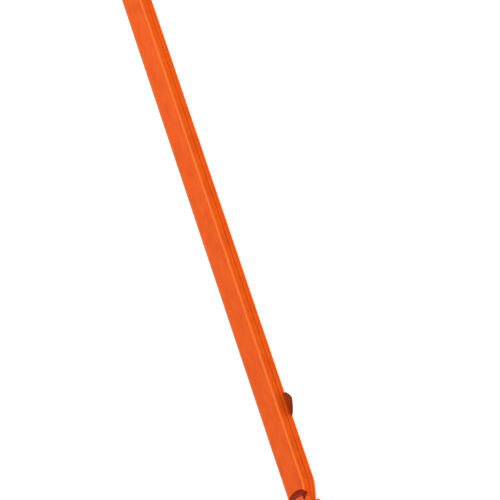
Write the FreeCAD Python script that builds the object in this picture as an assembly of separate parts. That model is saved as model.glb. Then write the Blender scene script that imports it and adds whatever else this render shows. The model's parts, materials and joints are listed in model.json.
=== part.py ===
"""Windlass tourniquet, doubled through its buckle and laid out straight.

X runs along the strap, from the far fold at -X to the buckle at +X.  Y runs across
the strap and +Z is up.  The origin is on the supporting surface, straight below the
middle of the windlass.  All sizes are in millimetres.
"""
import FreeCAD, Part
import math
import os

V = FreeCAD.Vector

# ---- driving dimensions -------------------------------------------------------
STRAP_W = 38.0            # width of the webbing
PLY_T = 0.9               # one ply of the strap's sleeve
BAND_T = 0.85             # pull band that runs inside the sleeve
BAND_W = 25.0
PLY_OFFSET = 0.925        # middle of the strap to the middle of either ply
STRAP_T = 2 * PLY_OFFSET + PLY_T
STRAND_GAP = 0.2          # between the two strands of the doubled strap
TAIL_GAP = 0.8            # between the tail and the strand above it, for the hook patch
FAR_FOLD_X = -386.0       # middle of the far fold
RISE_X0, RISE_X1 = -78.5, -64.5   # the strands climb over the tail between these
BEND_R = 18.0             # bends at the foot and head of that climb
TAIL_TIP_X = -73.5
TAIL_TIP_L = 8.0

PLATE_L, PLATE_W, PLATE_T = 112.0, 41.0, 1.6
COVER_T = 1.1             # pocket cloth over the plate
COVER_HALF_W = 22.4
MOUTH_X = -81.2           # mouth of the pocket, at its middle
MOUTH_DEPTH = 7.0         # how far its rounded corners are set back
MOUTH_FLAT_X = -78.0      # where the cloth starts to rise behind the mouth
BINDING_W, BINDING_T = 2.6, 0.4   # tape sewn along the mouth
WINDOW_HALF_L, WINDOW_HALF_W = 15.0, 14.0

ROD_L, ROD_R = 130.0, 5.5
ROD_NECK_R = 4.0
ROD_Z = 31.0              # raised, clear above the clip
SLOT_L, SLOT_H = 27.0, 3.2
CAP_L, CAP_R = 10.0, 6.0
CLIP_X, CLIP_L = 48.0, 12.0
HORN_TOP_Z = 24.5

PIN_X, PIN_Z, PIN_R = 84.0, 9.85, 1.6
BAR_X, BAR_R = 104.0, 2.6
RAIL_IN, RAIL_OUT = 20.5, 24.5
SPLIT_X = 84.0            # the strands bend here when the buckle tips up
SPLIT_GAP = 0.3

FLAP_X0, FLAP_X1 = 43.0, 53.0
FLAP_L, FLAP_T = 60.0, 1.2
FLAP_HINGE_Y, FLAP_HINGE_Z = -24.4, 12.4

TAB_X0, TAB_X1 = -127.8, -115.4
TAB_PEAK_X = -122.4
TAB_OUT = 9.9
TAB_T = 1.0

# ---- levels that follow from them ---------------------------------------------
LIFT = STRAP_T + TAIL_GAP                     # height gained over the tail
TAIL_Z = STRAP_T / 2
RETURN_Z = STRAP_T / 2
BASE_Z = STRAP_T + STRAND_GAP + STRAP_T / 2
BASE_TOP = BASE_Z + STRAP_T / 2 + LIFT        # top of the strap below the plate
PLATE_Z = BASE_TOP + 0.1
PLATE_TOP = PLATE_Z + PLATE_T
COVER_Z = PLATE_TOP + 0.1
COVER_TOP = COVER_Z + COVER_T
TURN_R = BAR_R + 0.1 + STRAP_T / 2
BAR_Z = TAIL_Z + TURN_R
SMALL = 1.0e-6


def box(x0, x1, y0, y1, z0, z1):
    """Box between two corners."""
    return Part.makeBox(x1 - x0, y1 - y0, z1 - z0, V(x0, y0, z0))


def cyl_x(x0, x1, radius, y=0.0, z=0.0):
    """Cylinder along X."""
    return Part.makeCylinder(radius, x1 - x0, V(x0, y, z), V(1, 0, 0))


def cyl_y(y0, y1, radius, x=0.0, z=0.0):
    """Cylinder along Y."""
    return Part.makeCylinder(radius, y1 - y0, V(x, y0, z), V(0, 1, 0))


def cyl_z(x, y, z0, z1, radius):
    """Cylinder along Z."""
    return Part.makeCylinder(radius, z1 - z0, V(x, y, z0), V(0, 0, 1))


def prism_xz(points, y0, y1):
    """Closed outline in the XZ plane, drawn out from y0 to y1."""
    corners = [V(x, y0, z) for x, z in points]
    face = Part.Face(Part.makePolygon(corners + corners[:1]))
    return face.extrude(V(0, y1 - y0, 0))


def slab(x0, x1, half_w, z0, z1, corner):
    """Flat plate with round corners."""
    solid = box(x0, x1, -half_w, half_w, z0, z1)
    uprights = [e for e in solid.Edges if abs(e.tangentAt(e.FirstParameter).z) > 0.99]
    return solid.makeFillet(corner, uprights)


def bent_line(points, radius):
    """Edges along points in the XZ plane, each inner corner rounded to radius."""
    edges = []
    start = V(points[0][0], 0, points[0][1])
    for before, corner, after in zip(points, points[1:], points[2:]):
        c = V(corner[0], 0, corner[1])
        u = (V(before[0], 0, before[1]) - c).normalize()
        w = (V(after[0], 0, after[1]) - c).normalize()
        half = u.getAngle(w) / 2
        trim = radius / math.tan(half)
        middle = c + (u + w).normalize() * (radius / math.sin(half) - radius)
        edges.append(Part.LineSegment(start, c + u * trim).toShape())
        edges.append(Part.Arc(c + u * trim, middle, c + w * trim).toShape())
        start = c + w * trim
    edges.append(Part.LineSegment(start, V(points[-1][0], 0, points[-1][1])).toShape())
    return edges


def swept(edges, width, thickness, offset=0.0):
    """Ribbon of a rectangular section along edges that start level, in -X or +X."""
    start = edges[0].Vertexes[0].Point
    low = start.z + offset - thickness / 2
    high = start.z + offset + thickness / 2
    ring = [V(start.x, -width / 2, low), V(start.x, width / 2, low),
            V(start.x, width / 2, high), V(start.x, -width / 2, high)]
    profile = Part.makePolygon(ring + ring[:1])
    return Part.Wire(edges).makePipeShell([profile], True, False)


def strap_route():
    """Middle of the strap: base strand, far fold and return strand."""
    base = bent_line([(74.0, BASE_Z + LIFT), (RISE_X1, BASE_Z + LIFT),
                      (RISE_X0, BASE_Z), (FAR_FOLD_X, BASE_Z)], BEND_R)
    fold_r = (BASE_Z - RETURN_Z) / 2
    fold = Part.Arc(V(FAR_FOLD_X, 0, BASE_Z), V(FAR_FOLD_X - fold_r, 0, RETURN_Z + fold_r),
                    V(FAR_FOLD_X, 0, RETURN_Z)).toShape()
    back = bent_line([(FAR_FOLD_X, RETURN_Z), (RISE_X0, RETURN_Z),
                      (RISE_X1, RETURN_Z + LIFT), (SPLIT_X, RETURN_Z + LIFT)], BEND_R)
    return base + [fold] + back


def strap_outer_ply(route):
    """Outer ply of the strap's sleeve, slit below the plate to let the pull band out."""
    ply = swept(route, STRAP_W, PLY_T, PLY_OFFSET)
    return ply.cut(box(-7.0, 7.0, -12.9, 12.9, BASE_TOP - PLY_T - 0.02, BASE_TOP + 1))


def strap_turn():
    """Stretch of the strap that goes up through the buckle and round its front bar."""
    x0 = SPLIT_X + SPLIT_GAP
    top = BAR_Z + TURN_R
    climb = bent_line([(x0, RETURN_Z + LIFT), (89.5, RETURN_Z + LIFT),
                       (97.0, top), (BAR_X, top)], 3.0)
    turn = Part.Arc(V(BAR_X, 0, top), V(BAR_X + TURN_R, 0, BAR_Z),
                    V(BAR_X, 0, TAIL_Z)).toShape()
    back = Part.LineSegment(V(BAR_X, 0, TAIL_Z), V(x0, 0, TAIL_Z)).toShape()
    return swept(climb + [turn, back], STRAP_W, STRAP_T)


def strap_tail():
    """Free end of the strap, lying back below the return strand."""
    return box(TAIL_TIP_X + TAIL_TIP_L, SPLIT_X, -STRAP_W / 2, STRAP_W / 2, 0, STRAP_T)


def tail_tip():
    """Coated, round-cornered and thinned end of the tail."""
    x1 = TAIL_TIP_X + TAIL_TIP_L
    wedge = prism_xz([(TAIL_TIP_X, 0), (x1, 0), (x1, STRAP_T), (TAIL_TIP_X, 1.0)],
                     -STRAP_W / 2, STRAP_W / 2)
    rounded = slab(TAIL_TIP_X, x1 + 20.0, STRAP_W / 2, 0, STRAP_T, 3.0)
    return wedge.common(rounded)


def tail_hook_patch():
    """Hook tape on the tail, facing the return strand."""
    return slab(-52.0, 30.0, 15.5, STRAP_T, STRAP_T + 0.7, 2.0)


def opening_tab():
    """Leaf-shaped folded tab at the strap's edge, blunt at its -X end."""
    y0 = STRAP_W / 2 + 0.25
    y1 = STRAP_W / 2 + TAB_OUT
    z = 0.05
    root = V(TAB_X0, y0, z)
    end = V(TAB_X1, y0, z)
    crest = V(TAB_PEAK_X, y1, z)
    nose = Part.Arc(root, V(TAB_X0 + 2.2, y0 + 0.63 * (y1 - y0), z), crest).toShape()
    taper = Part.Arc(crest, V(TAB_PEAK_X + 3.8, y0 + 0.62 * (y1 - y0), z), end).toShape()
    base = Part.LineSegment(end, root).toShape()
    face = Part.Face(Part.Wire([nose, taper, base]))
    return face.extrude(V(0, 0, TAB_T))


def stabiliser_plate():
    """Stiff plate below the windlass, with a slot that the pull band comes up through."""
    half = PLATE_L / 2
    plate = slab(-half, half, PLATE_W / 2, PLATE_Z, PLATE_TOP, 6.0)
    plate = plate.cut(box(-7.0, 7.0, -12.9, 12.9, PLATE_Z - 1, PLATE_TOP + 1))
    for y in (-10.5, 10.5):
        plate = plate.cut(cyl_z(CLIP_X, y, PLATE_Z - 1, PLATE_TOP + 1, 1.5))
    return plate


def band_guide():
    """Smooth ring round the slot, which keeps the band off the plate's edge."""
    ring = slab(-11.0, 11.0, 13.4, PLATE_TOP, PLATE_TOP + 2.4, 4.0)
    rim = [e for e in ring.Edges if e.BoundBox.ZMin > PLATE_TOP + 2.3]
    ring = ring.makeFillet(1.1, rim)
    return ring.cut(box(-6.6, 6.6, -10.8, 10.8, PLATE_TOP - 1, PLATE_TOP + 4))


def cover_outline(inset):
    """Side outline of the pocket, its skin moved in by inset."""
    low = 6.6
    skin = [(MOUTH_X, 7.05 - inset), (MOUTH_FLAT_X, 7.05 - inset), (RISE_X1 - 1.0, 10.75 - inset),
            (-57.5, COVER_TOP - inset), (58.0 - inset, COVER_TOP - inset),
            (60.5 - inset, low + 2.8 - inset)]
    return [(MOUTH_X, 3.7 - inset)] + skin + [(60.5 - inset, low - inset),
                                              (RISE_X1, low - inset)]


def mouth_lobe(inset):
    """Upright half-oval block in which the mouth's rounded end lies."""
    half = COVER_HALF_W - inset
    depth = MOUTH_DEPTH - inset
    lobe = Part.makeCylinder(half, 20)
    squeeze = FreeCAD.Matrix()
    squeeze.scale(depth / half, 1, 1)
    squeeze.move(V(MOUTH_X + MOUTH_DEPTH, 0, 0))
    return lobe.transformGeometry(squeeze)


def mouth_corners():
    """What the rounded mouth leaves of the pocket's square end."""
    end = box(MOUTH_X - 1, MOUTH_X + MOUTH_DEPTH, -COVER_HALF_W - 1, COVER_HALF_W + 1, 0, 20)
    return end.cut(mouth_lobe(0.0))


def mouth_binding():
    """Tape sewn on top of the cover along its rounded mouth."""
    half = COVER_HALF_W - 1.0
    skin = prism_xz(cover_outline(-BINDING_T), -half, half)
    skin = skin.cut(prism_xz(cover_outline(0.0), -half - 1, half + 1))
    strip = mouth_lobe(0.0).cut(mouth_lobe(BINDING_W))
    keep = box(MOUTH_X, MOUTH_X + MOUTH_DEPTH, -half, half, 6.0, COVER_TOP + 1)
    return skin.common(strip).common(keep)


def pocket_cover():
    """Cloth pocket over the plate, with a rounded mouth, a window and a clip opening."""
    shell = prism_xz(cover_outline(0.0), -COVER_HALF_W, COVER_HALF_W)
    half_in = COVER_HALF_W - COVER_T
    shell = shell.cut(prism_xz(cover_outline(COVER_T), -half_in, half_in))
    shell = shell.cut(box(50.0, 62.0, -half_in, half_in, 0, PLATE_Z))
    shell = shell.cut(mouth_corners())
    shell = shell.cut(box(-WINDOW_HALF_L, WINDOW_HALF_L, -WINDOW_HALF_W, WINDOW_HALF_W,
                          COVER_Z - 1, COVER_TOP + 1))
    reach = CLIP_L / 2 + 0.6
    return shell.cut(box(CLIP_X - reach, CLIP_X + reach, -14.6, 14.6,
                         COVER_Z - 1, COVER_TOP + 1))


def windlass_rod():
    """Round rod with a cross slot, a neck for the clip at each end and grip rings."""
    half = ROD_L / 2 - CAP_L / 2
    rod = cyl_x(-half, half, ROD_R, 0, ROD_Z)
    for side in (-1, 1):
        x = side * CLIP_X
        sleeve = cyl_x(x - 8.0, x + 8.0, ROD_R + 1, 0, ROD_Z)
        rod = rod.cut(sleeve.cut(cyl_x(x - 9.0, x + 9.0, ROD_NECK_R, 0, ROD_Z)))
        for step in range(4):
            x = side * (20.0 + 5.0 * step)
            groove = cyl_x(x - 0.8, x + 0.8, ROD_R + 1, 0, ROD_Z)
            rod = rod.cut(groove.cut(cyl_x(x - 1, x + 1, ROD_R - 0.7, 0, ROD_Z)))
    slot = box(-SLOT_L / 2, SLOT_L / 2, -ROD_R - 1, ROD_R + 1,
               ROD_Z - SLOT_H / 2, ROD_Z + SLOT_H / 2)
    return rod.cut(slot)


def rod_cap(side):
    """Moulded cap pushed on one end of the rod."""
    x0 = ROD_L / 2 - CAP_L
    x1 = ROD_L / 2
    cap = cyl_x(x0, x1, CAP_R, 0, ROD_Z)
    rim = [e for e in cap.Edges if e.BoundBox.XMin > x1 - 0.1]
    cap = cap.makeFillet(2.6, rim)
    cap = cap.cut(cyl_x(x0 - 1, ROD_L / 2 - CAP_L / 2, ROD_R + SMALL, 0, ROD_Z))
    if side < 0:
        cap.rotate(V(0, 0, 0), V(0, 0, 1), 180)
    return cap


def windlass_band_loop():
    """Pull band where it passes through the rod's slot and turns down on both sides."""
    half = BAND_W / 2
    through = box(-half, half, -7.0, 7.0, ROD_Z - 0.6, ROD_Z + 0.6)
    for side in (-1, 1):
        y0, y1 = sorted((side * 5.9, side * 7.0))
        through = through.fuse(box(-half, half, y0, y1, ROD_Z - 4.5, ROD_Z + 0.6))
    return through.removeSplitter()


def band_riser():
    """Twisted neck of the pull band between the plate and the rod."""
    low = PLATE_TOP + 0.3
    high = ROD_Z - ROD_R - 0.3
    return Part.makeCone(5.0, 3.6, high - low, V(0, 0, low), V(0, 0, 1))


def windlass_clip():
    """Open-topped clip: a foot on the plate and two horns with lips turned inwards."""
    x0 = CLIP_X - CLIP_L / 2
    x1 = CLIP_X + CLIP_L / 2
    foot = slab(x0, x1, 14.0, PLATE_TOP, PLATE_TOP + 2.4, 2.0)
    horn = [(5.2, PLATE_TOP + 1.0), (8.0, PLATE_TOP + 1.0), (8.6, 20.0), (7.6, 23.6),
            (6.2, HORN_TOP_Z), (4.6, HORN_TOP_Z - 0.9), (4.4, HORN_TOP_Z - 2.8),
            (5.2, HORN_TOP_Z - 4.6)]
    clip = foot
    for side in (-1, 1):
        ring = [V(x0 + 1, side * y, z) for y, z in horn]
        face = Part.Face(Part.makePolygon(ring + ring[:1]))
        clip = clip.fuse(face.extrude(V(CLIP_L - 2, 0, 0)))
    for y in (-10.5, 10.5):
        clip = clip.cut(cyl_z(CLIP_X, y, PLATE_TOP - 1, PLATE_TOP + 4, 1.5))
    return clip.removeSplitter()


def clip_rivets():
    """Rivets that hold the clip on the plate."""
    rivets = []
    for y in (-10.5, 10.5):
        shank = cyl_z(CLIP_X, y, PLATE_Z + 0.05, PLATE_TOP + 2.4, 1.5)
        head = cyl_z(CLIP_X, y, PLATE_TOP + 2.4, PLATE_TOP + 3.3, 2.4)
        rim = [e for e in head.Edges if e.BoundBox.ZMin > PLATE_TOP + 3.2]
        rivets.append(shank.fuse(head.makeFillet(0.6, rim)).removeSplitter())
    return Part.makeCompound(rivets)


def time_strap_anchor():
    """Folded webbing on the pocket's side, which the time strap hangs from."""
    y_side = -COVER_HALF_W
    return box(FLAP_X0, FLAP_X1, y_side - 1.2, y_side, 6.8, 11.0)


def time_strap():
    """Time strap, open: it slopes from its hinge down to the supporting surface."""
    strip = slab(0, FLAP_L, (FLAP_X1 - FLAP_X0) / 2, 0, FLAP_T, 2.5)
    strip.rotate(V(0, 0, 0), V(0, 0, 1), -90)
    strip.translate(V((FLAP_X0 + FLAP_X1) / 2, FLAP_HINGE_Y, FLAP_HINGE_Z))
    return tilt_flap(strip)


def tilt_flap(shape):
    """Turn a piece of the time strap down about the flap's hinge line."""
    drop = math.degrees(math.asin((FLAP_HINGE_Z - 0.15) / FLAP_L))
    shape.rotate(V(0, FLAP_HINGE_Y, FLAP_HINGE_Z), V(1, 0, 0), drop)
    return shape


def time_strap_hook_patch():
    """Hook tape on the inner face of the time strap."""
    patch = slab(FLAP_L - 24.0, FLAP_L - 3.0, 4.2, FLAP_T, FLAP_T + 0.7, 1.2)
    patch.rotate(V(0, 0, 0), V(0, 0, 1), -90)
    patch.translate(V((FLAP_X0 + FLAP_X1) / 2, FLAP_HINGE_Y, FLAP_HINGE_Z))
    return tilt_flap(patch)


def time_strap_catch_patch():
    """Loop tape on the other side of the pocket, where the time strap closes."""
    return box(FLAP_X0, FLAP_X1, COVER_HALF_W, COVER_HALF_W + 1.0, 7.0, COVER_TOP - 0.2)


def buckle_frame():
    """Rails from the hinge pin to the front bar that the strap turns round."""
    dx = BAR_X - PIN_X
    dz = BAR_Z - PIN_Z
    turn = -math.degrees(math.atan2(dz, dx))
    frame = None
    for y0, y1 in ((-RAIL_OUT, -RAIL_IN), (RAIL_IN, RAIL_OUT)):
        rail = box(0, math.hypot(dx, dz), y0, y1, -3.0, 3.0)
        rail.rotate(V(0, 0, 0), V(0, 1, 0), turn)
        rail.translate(V(PIN_X, 0, PIN_Z))
        rail = rail.fuse([cyl_y(y0, y1, 3.6, PIN_X, PIN_Z), cyl_y(y0, y1, 4.3, BAR_X, BAR_Z)])
        rail = rail.cut(cyl_y(y0 - 1, y1 + 1, PIN_R, PIN_X, PIN_Z))
        frame = rail if frame is None else frame.fuse(rail)
    frame = frame.fuse(cyl_y(-RAIL_IN, RAIL_IN, BAR_R, BAR_X, BAR_Z))
    return frame.removeSplitter()


def buckle_pin():
    """Steel pin through the buckle's rails and the strap's end loop."""
    return cyl_y(-RAIL_OUT, RAIL_OUT, PIN_R, PIN_X, PIN_Z)


def strap_end_loop():
    """Webbing loop round the pin, sewn on top of the strap's end."""
    half = STRAP_W / 2 - 1.0
    outer = cyl_y(-half, half, PIN_R + 1.9, PIN_X, PIN_Z)
    tongue = box(62.0, PIN_X, -half, half, BASE_TOP, PIN_Z + PIN_R + 1.9)
    loop = outer.fuse(tongue)
    return loop.cut(cyl_y(-half - 1, half + 1, PIN_R + 0.05, PIN_X, PIN_Z)).removeSplitter()


def end_loop_stitching():
    """Thread of the box stitch on the end loop: four sides and a cross."""
    z0 = PIN_Z + PIN_R + 1.9
    x0, x1, half = 64.0, 78.0, 14.0
    t = 0.45
    sides = [box(x0, x1, -half - t, -half + t, z0, z0 + 0.5),
             box(x0, x1, half - t, half + t, z0, z0 + 0.5),
             box(x0 - t, x0 + t, -half - t, half + t, z0, z0 + 0.5),
             box(x1 - t, x1 + t, -half - t, half + t, z0, z0 + 0.5)]
    thread = sides[0].fuse(sides[1:])
    length = math.hypot(x1 - x0, 2 * half)
    for sign in (-1, 1):
        cross = box(-length / 2, length / 2, -t, t, z0, z0 + 0.5)
        cross.rotate(V(0, 0, 0), V(0, 0, 1), sign * math.degrees(math.atan2(2 * half, x1 - x0)))
        cross.translate(V((x0 + x1) / 2, 0, 0))
        thread = thread.fuse(cross)
    return thread.removeSplitter()


def pocket_bar_tacks():
    """Dense thread bars at the corners of the pocket's window and behind its mouth."""
    z = COVER_TOP
    tacks = []
    for x in (-WINDOW_HALF_L - 3.0, WINDOW_HALF_L + 3.0, -52.0):
        for y in (-17.0, 17.0):
            tacks.append(box(x - 0.9, x + 0.9, y - 3.5, y + 3.5, z, z + 0.5))
    return Part.makeCompound(tacks)


def export(name, shape):
    """Write one node, after testing that it is sound."""
    if not shape.isValid():
        raise ValueError(name + " is not a valid shape")
    print("%-26s %2d solid(s) %10.1f mm3" % (name, len(shape.Solids), shape.Volume))
    shape.exportStep("parts/" + name + ".step")


def main():
    os.makedirs("parts", exist_ok=True)
    route = strap_route()
    export("strap_outer_ply", strap_outer_ply(route))
    export("strap_inner_ply", swept(route, STRAP_W, PLY_T, -PLY_OFFSET))
    export("inner_pull_band", swept(route, BAND_W, BAND_T))
    export("strap_turn", strap_turn())
    export("strap_tail", strap_tail())
    export("tail_tip", tail_tip())
    export("tail_hook_patch", tail_hook_patch())
    export("opening_tab", opening_tab())
    export("stabiliser_plate", stabiliser_plate())
    export("band_guide", band_guide())
    export("pocket_cover", pocket_cover())
    export("mouth_binding", mouth_binding())
    export("pocket_bar_tacks", pocket_bar_tacks())
    export("windlass_rod", windlass_rod())
    export("rod_cap_front", rod_cap(1))
    export("rod_cap_rear", rod_cap(-1))
    export("windlass_band_loop", windlass_band_loop())
    export("band_riser", band_riser())
    export("windlass_clip", windlass_clip())
    export("clip_rivets", clip_rivets())
    export("time_strap_anchor", time_strap_anchor())
    export("time_strap", time_strap())
    export("time_strap_hook_patch", time_strap_hook_patch())
    export("time_strap_catch_patch", time_strap_catch_patch())
    export("buckle_frame", buckle_frame())
    export("buckle_pin", buckle_pin())
    export("strap_end_loop", strap_end_loop())
    export("end_loop_stitching", end_loop_stitching())


main()
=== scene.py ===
"""Looks of a windlass tourniquet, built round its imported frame.

Every piece is in metres in the frame's own axes: +X along the strap towards the
buckle, +Y across it and +Z up.
"""
import json
import math

import bmesh
import bpy
from mathutils import Matrix, Vector

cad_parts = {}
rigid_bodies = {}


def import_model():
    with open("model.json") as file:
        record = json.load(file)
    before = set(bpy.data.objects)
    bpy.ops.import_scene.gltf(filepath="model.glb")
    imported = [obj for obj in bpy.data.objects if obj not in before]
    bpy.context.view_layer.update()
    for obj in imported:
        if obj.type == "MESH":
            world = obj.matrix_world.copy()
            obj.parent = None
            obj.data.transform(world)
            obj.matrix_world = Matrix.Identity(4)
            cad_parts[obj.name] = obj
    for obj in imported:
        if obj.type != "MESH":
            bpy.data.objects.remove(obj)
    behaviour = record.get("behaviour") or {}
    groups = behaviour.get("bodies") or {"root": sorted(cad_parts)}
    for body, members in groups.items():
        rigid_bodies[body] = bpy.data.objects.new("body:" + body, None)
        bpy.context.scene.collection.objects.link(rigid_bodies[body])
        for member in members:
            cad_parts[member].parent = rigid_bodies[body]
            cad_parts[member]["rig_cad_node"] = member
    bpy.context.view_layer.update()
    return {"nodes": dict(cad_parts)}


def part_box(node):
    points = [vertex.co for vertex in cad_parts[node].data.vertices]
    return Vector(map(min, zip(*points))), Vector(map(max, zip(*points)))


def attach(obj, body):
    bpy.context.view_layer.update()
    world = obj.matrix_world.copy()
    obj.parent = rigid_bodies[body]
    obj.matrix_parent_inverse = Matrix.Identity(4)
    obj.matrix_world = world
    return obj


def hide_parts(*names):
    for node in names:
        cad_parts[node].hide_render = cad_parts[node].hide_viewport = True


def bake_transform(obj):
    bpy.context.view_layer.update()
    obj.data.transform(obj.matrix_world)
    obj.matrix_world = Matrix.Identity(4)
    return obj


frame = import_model()

bl_info = {
    "name": "Windlass Tourniquet",
    "version": (1, 0, 0),
    "blender": (4, 5, 0),
    "location": "View3D > Sidebar > Tourniquet",
    "description": "Builds a webbing tourniquet with a windlass rod, piece by piece",
    "category": "Add Mesh",
}

MM = 0.001
ROOT = "strap_and_plate"


# ---- places read from the frame ------------------------------------------------

def low(node):
    """Lowest corner of a CAD node."""
    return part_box(node)[0]


def high(node):
    """Highest corner of a CAD node."""
    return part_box(node)[1]


def middle(node):
    """Centre of a CAD node's box."""
    return (low(node) + high(node)) / 2


STRAP_W = high("strap_tail").y - low("strap_tail").y
STRAP_T = high("strap_tail").z
PLY_T = 0.9 * MM
STRAND_GAP = 0.2 * MM      # between the strap's upper and lower strand
BEND_R = 18 * MM           # of the strap where it climbs onto the plate
PLY_OFFSET = (STRAP_T - PLY_T) / 2
SPLIT_X = high("strap_tail").x
TAIL_X = low("strap_tail").x
LIFT = high("strap_outer_ply").z - STRAP_T - (STRAP_T + STRAND_GAP)
RETURN_Z = STRAP_T / 2
BASE_Z = RETURN_Z + STRAP_T + STRAND_GAP
FOLD_X = low("strap_outer_ply").x + STRAP_T + 0.1 * MM
MOUTH_X = -81.2 * MM
MOUTH_SETBACK = 7.0 * MM   # of the mouth's rounded corners
MOUTH_FLAT_X = -78 * MM    # where the pocket starts to rise
BINDING_W = 2.6 * MM
# The CAD strap rises from x = -78.5 mm; this is 3.2 mm before it.
RISE_X0 = MOUTH_X - 0.5 * MM
RISE_X1 = RISE_X0 + 14 * MM
BASE_END_X = 74 * MM
BAR = Vector((104 * MM, 0, (low("strap_turn").z + high("strap_turn").z) / 2))
TURN_R = (high("strap_turn").z - low("strap_turn").z - STRAP_T) / 2
PIN = middle("buckle_pin")
PLATE_TOP = high("stabiliser_plate").z
COVER_TOP = high("pocket_cover").z
COVER_HALF_W = high("pocket_cover").y
ROD = middle("windlass_rod")
ROD_R = (high("windlass_rod").z - low("windlass_rod").z) / 2


# ---- small tools ---------------------------------------------------------------

def linear(code, alpha=1.0):
    """sRGB hex such as "E8702A" as linear red, green, blue and alpha."""
    parts = [int(code[i:i + 2], 16) / 255 for i in (0, 2, 4)]
    return [c / 12.92 if c <= 0.04045 else ((c + 0.055) / 1.055) ** 2.4 for c in parts] + [alpha]


def add(tree, kind, settings=None, inputs=None, links=None):
    """New node with its settings, its sockets' values and its incoming links."""
    node = tree.nodes.new(kind)
    for key, value in (settings or {}).items():
        setattr(node, key, value)
    for key, value in (inputs or {}).items():
        node.inputs[key].default_value = value
    for key, source in (links or {}).items():
        tree.links.new(source, node.inputs[key])
    return node


def new_mesh(name, verts, faces, uvs=None):
    """Mesh from points and faces, with one UV pair per face corner if given."""
    mesh = bpy.data.meshes.new(name)
    mesh.from_pydata([tuple(v) for v in verts], [], faces)
    if uvs:
        layer = mesh.uv_layers.new(name="weave")
        for i, uv in enumerate(uvs):
            layer.data[i].uv = uv
    mesh.validate()
    return mesh


def smooth(mesh, angle=40):
    """Smooth shading, kept sharp past an angle."""
    for face in mesh.polygons:
        face.use_smooth = True
    mesh.set_sharp_from_angle(angle=math.radians(angle))
    return mesh


def piece(name, mesh, material, body=None, stands_for=()):
    """Object for a finished mesh, with its material, body and the CAD nodes it replaces."""
    old = bpy.data.objects.get(name)
    if old is not None and "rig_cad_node" in old:
        name = name + "_piece"
    obj = bpy.data.objects.new(name, mesh)
    bpy.context.scene.collection.objects.link(obj)
    if material is not None:
        mesh.materials.clear()
        mesh.materials.append(material)
    if body:
        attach(obj, body)
    if stands_for:
        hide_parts(*stands_for)
    return obj


def dress(node, material):
    """Give a CAD node its finished material."""
    obj = frame["nodes"][node]
    if not obj.material_slots:
        obj.data.materials.append(None)
    for place in obj.material_slots:
        place.link = "OBJECT"
        place.material = material
    return obj


def bent(points, radius, step=math.radians(4)):
    """Points in the XZ plane with every inner corner rounded to radius."""
    line = [Vector(points[0])]
    for before, corner, after in zip(points, points[1:], points[2:]):
        c = Vector(corner)
        u = (Vector(before) - c).normalized()
        w = (Vector(after) - c).normalized()
        half = u.angle(w) / 2
        trim = radius / math.tan(half)
        centre = c + (u + w).normalized() * (radius / math.sin(half))
        start = c + u * trim - centre
        end = c + w * trim - centre
        sweep = start.angle(end)
        count = max(2, math.ceil(sweep / step))
        for i in range(count + 1):
            line.append(centre + start.slerp(end, i / count).normalized() * radius)
    line.append(Vector(points[-1]))
    return line


def arc(centre, radius, start, end, count):
    """Points of an arc in the XZ plane; angles in degrees, 0 along +X and 90 up."""
    angles = [math.radians(start + (end - start) * i / count) for i in range(count + 1)]
    return [centre + Vector((math.cos(a), math.sin(a))) * radius for a in angles]


def denser(line, step):
    """The line again, its long runs cut into steps."""
    out = [line[0]]
    for a, b in zip(line, line[1:]):
        gap = (b - a).length
        if gap < 1e-7:
            continue
        count = max(1, math.ceil(gap / step))
        out += [a.lerp(b, i / count) for i in range(1, count + 1)]
    return out


def rounded_section(width, thickness, across=14, lip=0.0):
    """Round-edged strip outline of (y, z) pairs.

    lip thickens one side at both edges, where the two plies are sewn together.
    """
    if lip:
        return lipped_section(width, thickness, across, lip)
    r = thickness / 2
    flat = width / 2 - r
    bottom = [(-flat + 2 * flat * i / across, -r) for i in range(across + 1)]
    right = [(flat + r * math.cos(a), r * math.sin(a))
             for a in (math.radians(d) for d in (-60, -30, 0, 30, 60))]
    top = [(-y, -z) for y, z in bottom]
    left = [(-y, -z) for y, z in right]
    return bottom + right + top + left


def lipped_section(width, thickness, across, lip):
    """Outline of one ply, thicker at both edges on the side that meets the other ply.

    That side is the lower one where lip is positive and the upper one where it is negative.
    """
    half = width / 2
    t = thickness / 2
    lower = -t - abs(lip)
    rim = 3.2 * MM
    skin = (0.42 if lip < 0 else 0.12) * MM
    outline = [(-half + 2 * half * i / across, -t) for i in range(1, across)]
    outline = [p for p in outline if abs(p[0]) < half - rim * 1.3]
    outline = [(-half + skin / 3, lower), (-half + rim, lower)] + outline
    outline += [(half - rim, lower), (half - skin / 3, lower), (half, lower + skin / 3)]
    outline += [(half, t - skin), (half - skin * 0.3, t - skin * 0.3), (half - skin, t)]
    outline += [(half - skin - (width - 2 * skin) * i / across, t) for i in range(1, across + 1)]
    outline += [(-half + skin * 0.3, t - skin * 0.3), (-half, t - skin),
                (-half, lower + skin / 3)]
    return outline if lip > 0 else [(-y, -z) for y, z in outline]


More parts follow.
